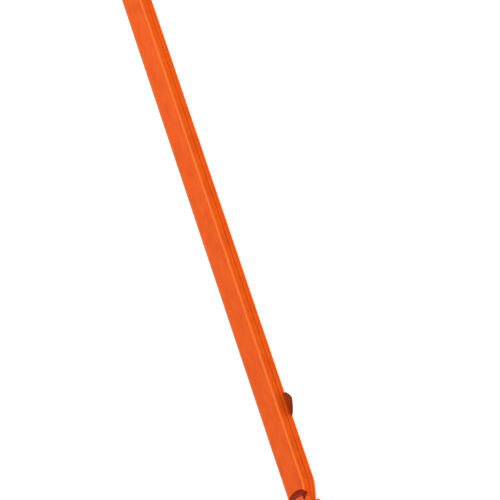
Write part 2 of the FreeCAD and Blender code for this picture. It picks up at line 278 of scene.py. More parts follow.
def ribbon(name, line, width, thickness, offset=0.0, wave=0.0, across=14, lip=0.0):
    """Strip swept along a line in the XZ plane; offset is to the line's left-hand side.

    wave is a slow unevenness of the edge in metres, as woven tape has.
    """
    ring = rounded_section(width, thickness, across, lip)
    perimeter = [0.0]
    for (y0, z0), (y1, z1) in zip(ring, ring[1:] + ring[:1]):
        perimeter.append(perimeter[-1] + math.hypot(y1 - y0, z1 - z0))
    verts, along = [], [0.0]
    for i, p in enumerate(line):
        before = line[max(i - 1, 0)]
        after = line[min(i + 1, len(line) - 1)]
        t = (after - before).normalized()
        n = Vector((-t.y, t.x))
        if i:
            along.append(along[-1] + (p - before).length)
        s = along[-1] * 1000
        drift = wave * (math.sin(s / 9.1) * 0.5 + math.sin(s / 3.7 + 1.3) * 0.3)
        for y, z in ring:
            q = p + n * (offset + z)
            verts.append((q.x, y + drift * (y / (width / 2)), q.y))
    k = len(ring)
    faces, uvs = [], []
    for i in range(len(line) - 1):
        for j in range(k):
            faces.append((i * k + j, i * k + (j + 1) % k,
                          (i + 1) * k + (j + 1) % k, (i + 1) * k + j))
            uvs += [(along[i], perimeter[j]), (along[i], perimeter[j + 1]),
                    (along[i + 1], perimeter[j + 1]), (along[i + 1], perimeter[j])]
    for i, order in ((0, range(k)), (len(line) - 1, range(k - 1, -1, -1))):
        faces.append(tuple(i * k + j for j in order))
        uvs += [(along[i], perimeter[j]) for j in order]
    mesh = new_mesh(name, verts, faces, uvs)
    fix_outward(mesh)
    return smooth(mesh, 35), along[-1]


def fix_outward(mesh):
    """Turn every face outwards."""
    bm = bmesh.new()
    bm.from_mesh(mesh)
    bmesh.ops.recalc_face_normals(bm, faces=bm.faces)
    bm.to_mesh(mesh)
    bm.free()


# ---- materials -----------------------------------------------------------------

def fresh_material(name):
    """Empty node material with a shader and its output."""
    old = bpy.data.materials.get(name)
    if old is not None:
        return old, None, None
    material = bpy.data.materials.new(name)
    material.use_nodes = True
    tree = material.node_tree
    tree.nodes.clear()
    shader = add(tree, "ShaderNodeBsdfPrincipled")
    add(tree, "ShaderNodeOutputMaterial", links={"Surface": shader.outputs["BSDF"]})
    return material, tree, shader


def paint_edge_highlight(tree, place, colour, code):
    """Painted highlight: lighter colour along the strap's two long edges, where their rounded
    corners catch the light.
    """
    parts = add(tree, "ShaderNodeSeparateXYZ", None, None, {"Vector": place.outputs["Object"]})
    side = add(tree, "ShaderNodeMath", {"operation": "ABSOLUTE"}, None, {0: parts.outputs["Y"]})
    edge = STRAP_W / 2
    near = add(tree, "ShaderNodeMapRange", {"interpolation_type": "SMOOTHSTEP"},
               {"From Min": edge - 4.2 * MM, "From Max": edge - 1.6 * MM},
               {"Value": side.outputs[0]})
    inside = add(tree, "ShaderNodeMapRange", {"interpolation_type": "SMOOTHSTEP"},
                 {"From Min": edge - 0.1 * MM, "From Max": edge - 0.5 * MM},
                 {"Value": side.outputs[0]})
    share = add(tree, "ShaderNodeMath", {"operation": "MULTIPLY"}, None,
                {0: near.outputs[0], 1: inside.outputs[0]})
    mix = add(tree, "ShaderNodeMix", {"data_type": "RGBA"})
    tree.links.new(share.outputs[0], mix.inputs[0])
    tree.links.new(colour, mix.inputs[6])
    mix.inputs[7].default_value = linear(code)
    return mix.outputs[2]


def noise(tree, vector, size, detail, **more):
    """Noise whose grains are about size across."""
    return add(tree, "ShaderNodeTexNoise", None, {"Scale": 1 / size, "Detail": detail, **more},
               {"Vector": vector}).outputs["Fac"]


def span(tree, value, low_end, high_end, limits=(0.0, 1.0)):
    """Value mapped from limits to the range low_end to high_end."""
    return add(tree, "ShaderNodeMapRange", None,
               {"From Min": limits[0], "From Max": limits[1], "To Min": low_end,
                "To Max": high_end}, {"Value": value}).outputs[0]


def ramp(tree, factor, first, last, last_at=1.0):
    """Colour between two linear colours."""
    node = add(tree, "ShaderNodeValToRGB", None, None, {"Fac": factor})
    node.color_ramp.elements[0].color = first
    node.color_ramp.elements[1].color = last
    node.color_ramp.elements[1].position = last_at
    return node.outputs["Color"]


def surface(tree, shader, colour, height=None, bump=0.0, depth=0.0, rub=None, **values):
    """Join colour, relief and wear to the shader, and set its uniform values."""
    tree.links.new(colour, shader.inputs["Base Color"])
    if height is not None:
        relief = add(tree, "ShaderNodeBump", None, {"Strength": bump, "Distance": depth},
                     {"Height": height})
        tree.links.new(relief.outputs["Normal"], shader.inputs["Normal"])
    if rub is not None:
        tree.links.new(rub, shader.inputs["Roughness"])
    for name, value in values.items():
        shader.inputs[name.replace("_", " ")].default_value = value


def woven(name, base, dark, rib_mm, pick_mm, sheen, mottle, bump, edge_highlight=None):
    """Flat woven nylon: ribs along the warp crossed by finer picks, with a soft mottle.

    Both counts are drawn about twice as coarse as real thread, so that they show.
    """
    material, tree, shader = fresh_material(name)
    if tree is None:
        return material
    coords = add(tree, "ShaderNodeUVMap", {"uv_map": "weave"})
    rib, pick = (add(tree, "ShaderNodeTexWave",
                     {"bands_direction": way, "wave_profile": "SIN"},
                     {"Scale": math.pi / 10 / (mm * MM), "Distortion": bend},
                     {"Vector": coords.outputs["UV"]})
                 for way, mm, bend in (("Y", rib_mm, 0.3), ("X", pick_mm, 0.4)))
    weave = add(tree, "ShaderNodeMath", {"operation": "MULTIPLY"},
                links={0: rib.outputs["Fac"], 1: pick.outputs["Fac"]})
    place = add(tree, "ShaderNodeTexCoord")
    spot = place.outputs["Object"]
    shade = span(tree, noise(tree, spot, 9 * MM, 4.0, Roughness=0.6), 0.5 - mottle * 2.5,
                 0.5 + mottle * 2.5, (0.3, 0.7))
    fuzz = noise(tree, spot, 0.6 * MM, 2.0)
    mixed = add(tree, "ShaderNodeMath", {"operation": "MULTIPLY_ADD"}, {1: 0.35},
                {0: weave.outputs[0], 2: shade})
    colour = ramp(tree, mixed.outputs[0], linear(dark), linear(base), 0.75)
    height = add(tree, "ShaderNodeMath", {"operation": "MULTIPLY_ADD"}, {1: 0.35},
                 {0: fuzz, 2: weave.outputs[0]})
    # painted highlight along the strap's two long edges
    if edge_highlight:
        colour = paint_edge_highlight(tree, place, colour, edge_highlight)
    surface(tree, shader, colour, height.outputs[0], bump, 0.25 * MM, Roughness=0.78, IOR=1.53,
            Specular_IOR_Level=0.12, Sheen_Weight=sheen, Sheen_Roughness=0.45,
            Sheen_Tint=linear(base))
    return material


def moulded(name, base, grain_mm=0.5, rough=0.5, bump=0.12):
    """Injection-moulded plastic or rubber with a fine spark-eroded grain and worn sheen."""
    material, tree, shader = fresh_material(name)
    if tree is None:
        return material
    spot = add(tree, "ShaderNodeTexCoord").outputs["Object"]
    grain = noise(tree, spot, grain_mm * MM, 3.0, Roughness=0.7)
    cloud = noise(tree, spot, 14 * MM, 3.0)
    lighter = [min(1.0, c * 1.5 + 0.002) for c in linear(base)[:3]] + [1.0]
    surface(tree, shader, ramp(tree, cloud, linear(base), lighter), grain, bump, 0.08 * MM,
            span(tree, cloud, rough - 0.08, rough + 0.1, (0.3, 0.7)), IOR=1.5)
    return material


def turned_metal(name, base, line_mm=0.3, rough=0.32):
    """Metal turned about X: fine lines round the axis, anodised or bare."""
    material, tree, shader = fresh_material(name)
    if tree is None:
        return material
    place = add(tree, "ShaderNodeTexCoord")
    stretch = add(tree, "ShaderNodeMapping", None, {"Scale": (1.0, 0.02, 0.02)},
                  {"Vector": place.outputs["Object"]})
    lines = noise(tree, stretch.outputs["Vector"], line_mm * MM, 3.0)
    dark, light = ([min(1, c * k) for c in linear(base)[:3]] + [1.0] for k in (0.8, 1.15))
    surface(tree, shader, ramp(tree, lines, dark, light), lines, 0.15, 0.03 * MM,
            span(tree, lines, rough - 0.1, rough + 0.14), Metallic=1.0)
    return material


WEAVES = {
    # name, base, shade (a colour's name or hex), rib mm, pick mm, sheen, mottle, bump
    "strap": ("rescue_orange_woven_nylon", "strap", "strap_shade", 1.3, 0.9, 0.06, 0.09, 0.25),
    "pocket": ("orange_pocket_nylon", "strap", "strap_shade", 0.9, 0.9, 0.06, 0.07, 0.2),
    "band": ("flat_woven_band", "band", "band_shade", 0.7, 1.2, 0.1, 0.05, 0.3),
    # the mouth tape's dark red is painted shadow of the mouth's opening
    "binding": ("mouth_tape_painted_shadow", "binding", "deep_painted_shade", 0.9, 0.8, 0.02, 0.08, 0.3),
    # the tab's dark rust is painted shade, as if in the strap's shadow
    "tab": ("tab_webbing_painted_shade", "tab_painted_shade", "deep_painted_shade", 0.8, 0.8, 0.05, 0.10, 0.2),
    "time": ("off_white_woven_tape", "E9E7E0", "BDB9AE", 0.6, 0.6, 0.05, 0.05, 0.2),
    "hook": ("black_hook_tape", "1B1B1D", "060607", 1.0, 1.0, 0.3, 0.1, 0.9),
}


def cloth(kind):
    """Woven material of a kind in WEAVES; the strap's has a painted highlight along its two long
    edges.
    """
    name, base, shade, *weave = WEAVES[kind]
    c = bpy.context.scene.tourniquet_colours
    return woven(name, getattr(c, base, base), getattr(c, shade, shade), *weave,
                 edge_highlight=c.edge_highlight if kind == "strap" else None)


def thread():
    """Bonded polyester sewing thread."""
    c = bpy.context.scene.tourniquet_colours
    material, tree, shader = fresh_material("bonded_polyester_thread")
    if tree is None:
        return material
    twist = noise(tree, add(tree, "ShaderNodeTexCoord").outputs["Object"], 0.25 * MM, 2.0)
    surface(tree, shader, ramp(tree, twist, linear(c.band_shade), linear(c.strap)),
            Roughness=0.5)
    return material


def nylon():
    """Black glass-filled nylon of the plate, clip and buckle."""
    return moulded("black_moulded_nylon", "151517", 0.5, 0.5, 0.12)


def rubber():
    """Black moulded rubber of the rod's caps."""
    return moulded("black_moulded_rubber", "101010", 0.8, 0.72, 0.2)


# ---- sizes and colours that a user may change -----------------------------------

def length_setting(name, words, mm):
    """Length that a user may change."""
    return bpy.props.FloatProperty(name=name, description=words, default=mm * MM,
                                   unit="LENGTH")


def colour_setting(name, words, code):
    """Colour that a user may change, as sRGB hex."""
    return bpy.props.StringProperty(name=name, description=words, default=code)


class TourniquetSizes(bpy.types.PropertyGroup):
    """Sizes of the soft details."""
    stitch_length: length_setting("Stitch length", "Length of one visible stitch", 2.6)
    stitch_gap: length_setting("Stitch gap", "Gap between two stitches", 0.9)
    thread_thickness: length_setting("Thread thickness", "Thickness of the sewing thread", 0.45)
    seam_inset: length_setting("Seam inset",
                               "Distance of the edge seams from the strap's edge", 2.2)
    edge_wave: length_setting("Edge wave", "Slow unevenness of the webbing's edges", 0.12)


class TourniquetColours(bpy.types.PropertyGroup):
    """Colours of the soft goods, as sRGB hex."""
    strap: colour_setting("Strap", "Lit colour of the strap", "EB5C0A")
    strap_shade: colour_setting("Strap shade", "Colour between the strap's threads", "CC4402")
    # Painted highlight: the lighter orange laid along the strap's two long edges
    edge_highlight: colour_setting("Selvedge", "Colour of the strap's edge threads", "FC7830")
    band: colour_setting("Pull band", "Colour of the pull band", "D9480F")
    band_shade: colour_setting("Band shade", "Colour between the band's threads", "8E2604")
    # Painted shade: the tab's orange webbing coloured dark rust, as if in the strap's shadow
    tab_painted_shade: colour_setting("Rust", "Colour of the tab", "8A2E06")
    # Painted shadow: dark red of the tape round the pocket's mouth, standing in for the shade in
    # its opening
    binding: colour_setting("Binding", "Colour of the tape round the pocket's mouth", "8E0F00")
    # Painted shade: darkest thread colour of the tab and the mouth tape, whose colours are
    # themselves painted shade
    deep_painted_shade: colour_setting("Rust shade", "Colour between the rust threads", "4E0C01")


# ---- repeated details ------------------------------------------------------------

def stitch_tree(name="stitch_row"):
    """Geometry Nodes: capsule-like stitches laid along the curves of the input."""
    old = bpy.data.node_groups.get(name)
    if old is not None:
        return old
    tree = bpy.data.node_groups.new(name, "GeometryNodeTree")
    face = tree.interface
    face.new_socket("Geometry", in_out="INPUT", socket_type="NodeSocketGeometry")
    for label in ("Stitch length", "Gap", "Thickness"):
        face.new_socket(label, in_out="INPUT", socket_type="NodeSocketFloat")
    face.new_socket("Thread", in_out="INPUT", socket_type="NodeSocketMaterial")
    face.new_socket("Geometry", in_out="OUTPUT", socket_type="NodeSocketGeometry")
    given = add(tree, "NodeGroupInput")
    curve = add(tree, "GeometryNodeMeshToCurve", links={"Mesh": given.outputs["Geometry"]})
    pitch = add(tree, "ShaderNodeMath", {"operation": "ADD"},
                links={0: given.outputs["Stitch length"], 1: given.outputs["Gap"]})
    points = add(tree, "GeometryNodeCurveToPoints", {"mode": "LENGTH"},
                 links={"Curve": curve.outputs["Curve"], "Length": pitch.outputs[0]})
    bead = add(tree, "GeometryNodeMeshUVSphere", None, {"Segments": 6, "Rings": 5, "Radius": 0.5})
    scale = add(tree, "ShaderNodeCombineXYZ",
                links={"X": given.outputs["Thickness"], "Y": given.outputs["Thickness"],
                       "Z": given.outputs["Stitch length"]})
    laid = add(tree, "GeometryNodeInstanceOnPoints",
               links={"Points": points.outputs["Points"], "Instance": bead.outputs["Mesh"],
                      "Rotation": points.outputs["Rotation"], "Scale": scale.outputs["Vector"]})
    real = add(tree, "GeometryNodeRealizeInstances",
               links={"Geometry": laid.outputs["Instances"]})
    soft = add(tree, "GeometryNodeSetShadeSmooth", links={"Geometry": real.outputs["Geometry"]})
    paint = add(tree, "GeometryNodeSetMaterial",
                links={"Geometry": soft.outputs["Geometry"], "Material": given.outputs["Thread"]})
    add(tree, "NodeGroupOutput", links={"Geometry": paint.outputs["Geometry"]})
    return tree


def stitched(name, lines, body, stands_for=(), length=None, gap=None):
    """Rows of stitches along open lines of 3-D points, as one plain mesh."""
    sizes = bpy.context.scene.tourniquet_sizes
    verts, edges = [], []
    for line in lines:
        first = len(verts)
        verts += [tuple(p) for p in line]
        edges += [(first + i, first + i + 1) for i in range(len(line) - 1)]
    mesh = bpy.data.meshes.new(name + "_lines")
    mesh.from_pydata(verts, edges, [])
    maker = bpy.data.objects.new(name + "_maker", mesh)
    bpy.context.scene.collection.objects.link(maker)
    modifier = maker.modifiers.new("stitches", "NODES")
    modifier.node_group = stitch_tree()
    values = {"Stitch length": sizes.stitch_length if length is None else length,
              "Gap": sizes.stitch_gap if gap is None else gap,
              "Thickness": sizes.thread_thickness, "Thread": thread()}
    for item in modifier.node_group.interface.items_tree:
        if item.in_out == "INPUT" and item.name in values:
            modifier[item.identifier] = values[item.name]
    graph = bpy.context.evaluated_depsgraph_get()
    made = bpy.data.meshes.new_from_object(maker.evaluated_get(graph))
    bpy.data.objects.remove(maker)
    if not made.polygons:
        raise RuntimeError(name + " has no stitches")
    return piece(name, made, thread(), body, stands_for)


# ---- the strap -------------------------------------------------------------------

def strap_line():
    """Middle of the whole strap in XZ, from the sewn end round to the tail's tip."""
    base = bent([(BASE_END_X, BASE_Z + LIFT), (RISE_X1, BASE_Z + LIFT),
                 (RISE_X0, BASE_Z), (FOLD_X, BASE_Z)], BEND_R)
    fold_r = (BASE_Z - RETURN_Z) / 2
    fold = arc(Vector((FOLD_X, RETURN_Z + fold_r)), fold_r, 90, 270, 16)
    back = bent([(FOLD_X, RETURN_Z), (RISE_X0, RETURN_Z), (RISE_X1, RETURN_Z + LIFT),
                 (SPLIT_X, RETURN_Z + LIFT)], BEND_R)
    top = BAR.z + TURN_R
    climb = bent([(SPLIT_X, RETURN_Z + LIFT), (89.5 * MM, RETURN_Z + LIFT),
                  (97 * MM, top), (BAR.x, top)], 3 * MM)
    turn = arc(Vector((BAR.x, BAR.z)), TURN_R, 90, -90, 22)
    tail = [Vector((BAR.x, RETURN_Z)), Vector((TAIL_X, RETURN_Z))]
    line = base + fold[1:] + back[1:] + climb[1:] + turn[1:] + tail[1:]
    return denser(line, 3 * MM)


class TOURNIQUET_OT_strap(bpy.types.Operator):
    """Two plies of orange webbing along the whole doubled strap"""
    bl_idname = "tourniquet.strap"
    bl_label = "Strap"

    def execute(self, context):
        wave = context.scene.tourniquet_sizes.edge_wave
        line = strap_line()
        nodes = {"outer": ("strap_outer_ply", "strap_turn", "strap_tail"),
                 "inner": ("strap_inner_ply",)}
        for side, offset in (("outer", -PLY_OFFSET), ("inner", PLY_OFFSET)):
            lip = (PLY_OFFSET - PLY_T / 2) * (-1 if side == "outer" else 1)
            mesh, length = ribbon("strap_%s" % side, line, STRAP_W, PLY_T, offset, wave,
                                  lip=lip)
            obj = piece("strap_%s_ply_cloth" % side, mesh, cloth("strap"))
            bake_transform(obj)
            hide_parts(*nodes[side])
        dress("inner_pull_band", moulded_band())
        return {"FINISHED"}


def moulded_band():
    """Material for the sealed inner band, which has no UVs: a moulded grain on object axes."""
    c = bpy.context.scene.tourniquet_colours
    return moulded("inner_band_nylon", c.band, 0.9, 0.75, 0.3)


def offset_line(line, distance):
    """The XZ line moved to its left-hand side."""
    out = []
    for i, p in enumerate(line):
        t = (line[min(i + 1, len(line) - 1)] - line[max(i - 1, 0)]).normalized()
        out.append(p + Vector((-t.y, t.x)) * distance)
    return out


class TOURNIQUET_OT_strap_seams(bpy.types.Operator):
    """Edge seams of the strap's sleeve, on its outer face"""
    bl_idname = "tourniquet.strap_seams"
    bl_label = "Strap seams"

    def execute(self, context):
        sizes = context.scene.tourniquet_sizes
        lift = STRAP_T / 2 - sizes.thread_thickness * 0.22
        line = offset_line(strap_line(), -lift)
        top = [p for p in line[:len(line) // 2] if FOLD_X < p.x < RISE_X0 - 2 * MM]
        top = [p for p in top if p.y > BASE_Z]
        y = STRAP_W / 2 - sizes.seam_inset
        rows = [[Vector((p.x, side * y, p.y)) for p in top] for side in (-1, 1)]
        stitched("strap_edge_seams", rows, ROOT)
        return {"FINISHED"}


class TOURNIQUET_OT_tail_tip(bpy.types.Operator):
    """Thinned, coated tip of the tail and the hook tape behind it"""
    bl_idname = "tourniquet.tail_tip"
    bl_label = "Tail tip"

    def execute(self, context):
        lo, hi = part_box("tail_tip")
        dress("tail_hook_patch", moulded("black_hook_pile", "141416", 1.1, 0.9, 0.9))
        bm = bmesh.new()
        steps = 8
        radius = 3 * MM
        rows = []
        for i in range(steps + 1):
            x = lo.x + (hi.x - lo.x) * i / steps
            inset = max(0.0, radius - (x - lo.x))
            half = hi.y - (radius - math.sqrt(max(0.0, radius ** 2 - inset ** 2)))
            top = 1.0 * MM + (STRAP_T - 1.0 * MM) * i / steps
            rows.append([bm.verts.new((x, s * half, z)) for s, z in
                         ((-1, 0.1 * MM), (1, 0.1 * MM), (1, top), (-1, top))])
        for a, b in zip(rows, rows[1:]):
            for j in range(4):
                bm.faces.new((a[j], a[(j + 1) % 4], b[(j + 1) % 4], b[j]))
        bm.faces.new(rows[0])
        bm.faces.new(rows[-1])
        bmesh.ops.recalc_face_normals(bm, faces=bm.faces)
        bmesh.ops.bevel(bm, geom=bm.edges, offset=0.25 * MM, segments=2, affect="EDGES",
                        clamp_overlap=True)
        mesh = bpy.data.meshes.new("tail_tip")
        bm.to_mesh(mesh)
        bm.free()
        c = context.scene.tourniquet_colours
        piece("tail_tip_coated", smooth(mesh), moulded("dipped_orange_coating", c.strap, 1.5,
              0.55, 0.2), ROOT, ["tail_tip"])
        return {"FINISHED"}


class TOURNIQUET_OT_opening_tab(bpy.types.Operator):
    """Folded tab at the strap's edge, with a soft rounded rim, its orange coloured dark rust as
    painted shade
    """
    bl_idname = "tourniquet.opening_tab"
    bl_label = "Opening tab"

    def execute(self, context):
        source = bmesh.new()
        source.from_mesh(frame["nodes"]["opening_tab"].data)
        bmesh.ops.remove_doubles(source, verts=source.verts, dist=1e-6)
        bmesh.ops.dissolve_limit(source, angle_limit=math.radians(1), verts=source.verts,
                                 edges=source.edges)
        rim = [e for e in source.edges
               if abs(e.verts[0].co.z - e.verts[1].co.z) < 1e-7]
        bmesh.ops.bevel(source, geom=rim, offset=0.35 * MM, segments=3, affect="EDGES",
                        clamp_overlap=True)
        mesh = bpy.data.meshes.new("opening_tab")
        source.to_mesh(mesh)
        source.free()
        layer = mesh.uv_layers.new(name="weave")
        for loop in mesh.loops:
            co = mesh.vertices[loop.vertex_index].co
            layer.data[loop.index].uv = (co.x, co.y + co.z)
        piece("opening_tab_webbing", smooth(mesh), cloth("tab"), "tab",
              ["opening_tab"])
        return {"FINISHED"}


class TOURNIQUET_OT_pocket(bpy.types.Operator):
    """Cloth pocket over the plate: rounded mouth, window, clip opening and seams"""
    bl_idname = "tourniquet.pocket"
    bl_label = "Pocket"

    shoulder = 2.6 * MM
    window = (15 * MM, 14 * MM)
    clip_gap = (41.4 * MM, 54.6 * MM, 14.6 * MM)

    @staticmethod
    def mouth(y):
        """Where the mouth's edge lies at y."""
        across = min(1.0, abs(y) / COVER_HALF_W)
        return MOUTH_X + MOUTH_SETBACK * (1 - math.sqrt(1 - across ** 2))

    @staticmethod
    def between(table, x):
        """Value at x of a table of (x, value) corners, joined smoothly."""
        for (x0, v0), (x1, v1) in zip(table, table[1:]):
            if x <= x1:
                return v0 + (v1 - v0) * max(0.0, (x - x0) / (x1 - x0))
        return table[-1][1]

    def skin(self, x):
        """Height of the cloth's top at x."""
        table = [(MOUTH_X, 7.05 * MM), (MOUTH_FLAT_X, 7.05 * MM),
                 (RISE_X1 - 1 * MM, 10.75 * MM), (-57.5 * MM, COVER_TOP),
                 (56 * MM, COVER_TOP), (58.6 * MM, COVER_TOP - 0.5 * MM),
                 (60.2 * MM, COVER_TOP - 1.8 * MM)]
        spread = 1.6 * MM
        return sum(self.between(table, x + k * spread) for k in (-1, 0, 1)) / 3

    def hem(self, x):
        """Height of the side walls' lower edge at x."""
        return self.between([(MOUTH_X, 3.75 * MM), (RISE_X1, 6.65 * MM), (62 * MM, 6.65 * MM)], x)

    def cross(self, x, t):
        """Point of the cloth at x and at share t across it, from -1 to 1."""
        side = math.copysign(1, t)
        top, bottom, r = self.skin(x), self.hem(x), self.shoulder
        flat = COVER_HALF_W - r
        wall = max(0.2 * MM, top - r - bottom)
        bend = r * math.pi / 2
        s = abs(t) * (flat + bend + wall)
        pucker = 0.10 * MM * math.sin(x / MM * 0.9) * min(1, max(0, (s - flat + 3 * MM) / r))
        if s <= flat:
            return Vector((x, side * s, top))
        if s <= flat + bend:
            a = (s - flat) / r
            return Vector((x, side * (flat + r * math.sin(a) + pucker * 0.5),
                           top - r * (1 - math.cos(a))))
        return Vector((x, side * (COVER_HALF_W - abs(pucker)), top - r - (s - flat - bend)))

    def shares(self):
        """Shares across the cloth, with the openings' edges among them."""
        length = COVER_HALF_W - self.shoulder + self.shoulder * math.pi / 2 + 3 * MM
        marks = {0.0, self.window[1] / length, self.clip_gap[2] / length}
        marks |= {i / 20 for i in range(21)}
        half = sorted(marks)
        return [-t for t in reversed(half[1:])] + half

    def execute(self, context):
        fixed = [-57.5, -55, -50, -44, -38, -32, -26, -20, -15, -10, -5, 0, 5, 10, 15, 20, 26,
                 32, 37, 41.4, 44.5, 48, 51.5, 54.6, 56, 57.2, 58.4, 59.4, 60.2]
        first = RISE_X1 - 1 * MM
        shares = self.shares()
        columns = []
        for t in shares:
            y = self.cross(first, t).y
            start = self.mouth(y)
            run = [start + (first - start) * i / 9 for i in range(10)]
            run += [(first * (3 - i) - 57.5 * MM * i) / 3 for i in (1, 2)]
            columns.append(run + [x * MM for x in fixed])
        verts = [self.cross(x, t) for run, t in zip(columns, shares) for x in run]
        k = len(columns[0])
        faces, uvs = [], []
        for i in range(len(shares) - 1):
            for j in range(k - 1):
                ring = (i * k + j, i * k + j + 1, (i + 1) * k + j + 1, (i + 1) * k + j)
                mid = sum((verts[v] for v in ring), Vector()) / 4
                if self.open_at(mid):
                    continue
                faces.append(ring)
                uvs += [(verts[v].x, shares[i + (n in (2, 3))] * 25 * MM)
                        for n, v in enumerate(ring)]
        mesh = new_mesh("pocket", verts, faces, uvs)
        clean = bmesh.new()
        clean.from_mesh(mesh)
        bmesh.ops.delete(clean, geom=[v for v in clean.verts if not v.link_faces],
                         context="VERTS")
        bmesh.ops.recalc_face_normals(clean, faces=clean.faces)
        if sum(f.normal.z * f.calc_area() for f in clean.faces) < 0:
            bmesh.ops.reverse_faces(clean, faces=clean.faces)
        clean.to_mesh(mesh)
        clean.free()
        obj = piece("pocket_cloth", smooth(mesh, 60), cloth("pocket"), ROOT,
                    ["pocket_cover"])
        wall = obj.modifiers.new("cloth thickness", "SOLIDIFY")
        wall.thickness = 0.95 * MM
        wall.offset = -1
        self.binding()
        self.seams(context)
        return {"FINISHED"}

    def open_at(self, p):
        """True inside the window or the clip's opening."""
        window = abs(p.x) < self.window[0] and abs(p.y) < self.window[1]
        gap = self.clip_gap[0] < p.x < self.clip_gap[1] and abs(p.y) < self.clip_gap[2]
        return (window or gap) and p.z > COVER_TOP - 1 * MM

    @staticmethod
    def cloth_area(mesh):
        """Area of the cut cloth."""
        return sum(face.area for face in mesh.polygons)

    def binding(self):
        """Tape folded over the mouth's edge, coloured dark red as painted shadow of the mouth's
        opening.
        """
        steps = 64
        half = COVER_HALF_W - 1.1 * MM
        width = BINDING_W / MM
        outline = ((-0.45, -1.25), (-0.62, -0.5), (-0.45, 0.2), (0.0, 0.42),
                   (width - 0.3, 0.42), (width, 0.05), (0.6, -0.05))
        rings = []
        for i in range(steps + 1):
            y = half * (2 * i / steps - 1)
            x = self.mouth(y)
            ease = 0.25 * MM * math.cos(y / half * math.pi / 2)
            over = abs(y) - (COVER_HALF_W - self.shoulder)
            fall = self.shoulder - math.sqrt(self.shoulder ** 2 - max(0.0, over) ** 2)
            rings.append([Vector((x + dx * MM, y, self.skin(max(x + dx * MM, MOUTH_X))
                                  + dz * MM + ease - fall)) for dx, dz in outline])
        lofted("mouth_binding_tape", rings, cloth("binding"), ROOT,
               ["mouth_binding"], 50, (0.7 * MM, 0.6 * MM))

    def seams(self, context):
        """Stitch rows along the pocket's sides, its window and behind its mouth."""
        sizes = context.scene.tourniquet_sizes
        lift = sizes.thread_thickness * 0.3
        side = COVER_HALF_W - self.shoulder - 0.4 * MM
        rows = []
        for y in (-side, side):
            xs = [MOUTH_X + (4 + 2.0 * i) * MM for i in range(64)]
            rows.append([Vector((x, y, self.skin(x) + lift)) for x in xs if x < 57 * MM])
        wx, wy = self.window[0] + 1.6 * MM, self.window[1] + 1.6 * MM
        z = COVER_TOP + lift
        rows.append([Vector((x, y, z)) for x, y in
                     ((-wx, -wy), (wx, -wy), (wx, wy), (-wx, wy), (-wx, -wy))])
        near = [side * (i / 20 - 1) for i in range(41)]
        rows.append([Vector((self.mouth(y) + 2.0 * MM, y,
                             self.skin(self.mouth(y) + 2.0 * MM) + 0.42 * MM + 0.25 * MM
                             * math.cos(y / side * math.pi / 2))) for y in near])
        stitched("pocket_seams", rows, ROOT)
        tacks = []
        for x in (-18.0, 18.0, -52.0):
            for y in (-17.0, 17.0):
                for row in range(4):
                    at = (x + (row - 1.5) * 0.42) * MM
                    start = (y - 3.0 + 0.3 * (row % 2)) * MM
                    tacks.append([Vector((at, start, z)), Vector((at, start + 6 * MM, z))])
        stitched("pocket_bar_tack_threads", tacks, ROOT, ["pocket_bar_tacks"],
                 length=1.5 * MM, gap=-0.1 * MM)


def lofted(name, rings, material, body, stands_for=(), smooth_angle=60,
           weave=(MM, MM)):
    """Closed tube through rings of equal point counts, capped at both ends.

    weave is the step in UV from ring to ring and from point to point.
    """
    k = len(rings[0])
    verts = [p for ring in rings for p in ring]
    faces, uvs = [], []
    for i in range(len(rings) - 1):
        for j in range(k):
            faces.append((i * k + j, i * k + (j + 1) % k, (i + 1) * k + (j + 1) % k,
                          (i + 1) * k + j))
            uvs += [((i + di) * weave[0], (j + dj) * weave[1])
                    for di, dj in ((0, 0), (0, 1), (1, 1), (1, 0))]
    for start in (0, (len(rings) - 1) * k):
        faces.append(tuple(range(start, start + k)))
        uvs += [(0, j * MM) for j in range(k)]
    mesh = new_mesh(name, verts, faces, uvs)
    fix_outward(mesh)
    return piece(name, smooth(mesh, smooth_angle), material, body, stands_for)


